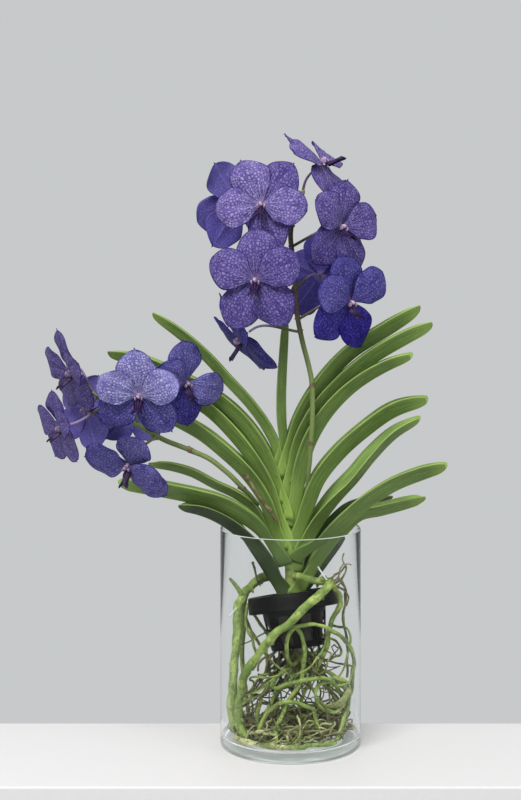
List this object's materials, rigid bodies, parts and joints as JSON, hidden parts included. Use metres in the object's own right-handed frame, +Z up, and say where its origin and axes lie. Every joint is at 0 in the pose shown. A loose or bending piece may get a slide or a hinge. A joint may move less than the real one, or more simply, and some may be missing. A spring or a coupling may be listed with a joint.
{
  "type": "orchid plant in a glass vase",
  "caption": "Blue-violet vanda orchid in bloom, with strap leaves in a fan and bare green roots in a black net pot, standing in a clear glass cylinder vase.",
  "frame": {"origin": "centre of the vase's base, on the surface it stands on", "axes": "+Z up along the vase's axis, +X to the right as the flowers are looked at, where the right leaves reach, and most flowers look towards -Y"},
  "size_m": [0.4311, 0.1713, 0.6547],
  "materials": {
    "glass": "polished, clear",
    "pot_plastic": "matte black",
    "stem_green": "fibrous, satin; stands for plant tissue",
    "leaf_green": "leathery, satin; stands for plant tissue",
    "leaf_dark": "leathery, satin; stands for plant tissue",
    "spike_green": "satin; stands for plant tissue",
    "spike_dry": "dry, matt",
    "petal_violet": "velvety, matt; stands for petals",
    "lip_purple": "waxy, satin; stands for the flower's lip",
    "root_green": "spongy, matt; stands for roots",
    "tie_clear": "clear"
  },
  "bodies": {
    "root": {"vase": "glass", "basket": "pot_plastic", "stem": "stem_green", "leaf_right_1": "leaf_green", "leaf_right_2": "leaf_green", "leaf_right_3": "leaf_green", "leaf_right_4": "leaf_green", "leaf_right_5": "leaf_green", "leaf_right_6": "leaf_green", "leaf_right_7": "leaf_green", "leaf_right_8": "leaf_dark", "leaf_right_9": "leaf_dark", "leaf_left_1": "leaf_green", "leaf_left_2": "leaf_green", "leaf_left_3": "leaf_green", "leaf_left_4": "leaf_green", "leaf_left_5": "leaf_green", "leaf_left_6": "leaf_green", "leaf_left_7": "leaf_dark", "leaf_left_8": "leaf_dark", "leaf_centre": "leaf_green", "spike_upright": "spike_green", "spike_arching": "spike_green", "spike_old": "spike_dry", "bloom_top_1": "petal_violet", "lip_top_1": "lip_purple", "bloom_top_2": "petal_violet", "lip_top_2": "lip_purple", "bloom_top_3": "petal_violet", "lip_top_3": "lip_purple", "bloom_top_4": "petal_violet", "lip_top_4": "lip_purple", "bloom_top_5": "petal_violet", "lip_top_5": "lip_purple", "bloom_top_6": "petal_violet", "lip_top_6": "lip_purple", "bloom_top_7": "petal_violet", "lip_top_7": "lip_purple", "bloom_top_8": "petal_violet", "lip_top_8": "lip_purple", "bloom_left_1": "petal_violet", "lip_left_1": "lip_purple", "bloom_left_2": "petal_violet", "lip_left_2": "lip_purple", "bloom_left_3": "petal_violet", "lip_left_3": "lip_purple", "bloom_left_4": "petal_violet", "lip_left_4": "lip_purple", "bloom_left_5": "petal_violet", "lip_left_5": "lip_purple", "bloom_left_6": "petal_violet", "lip_left_6": "lip_purple", "bloom_left_7": "petal_violet", "lip_left_7": "lip_purple", "root_left": "root_green", "root_front": "root_green", "roots_fine": "root_green", "tie_left": "tie_clear", "tie_right": "tie_clear"}
  },
  "joints": []
}
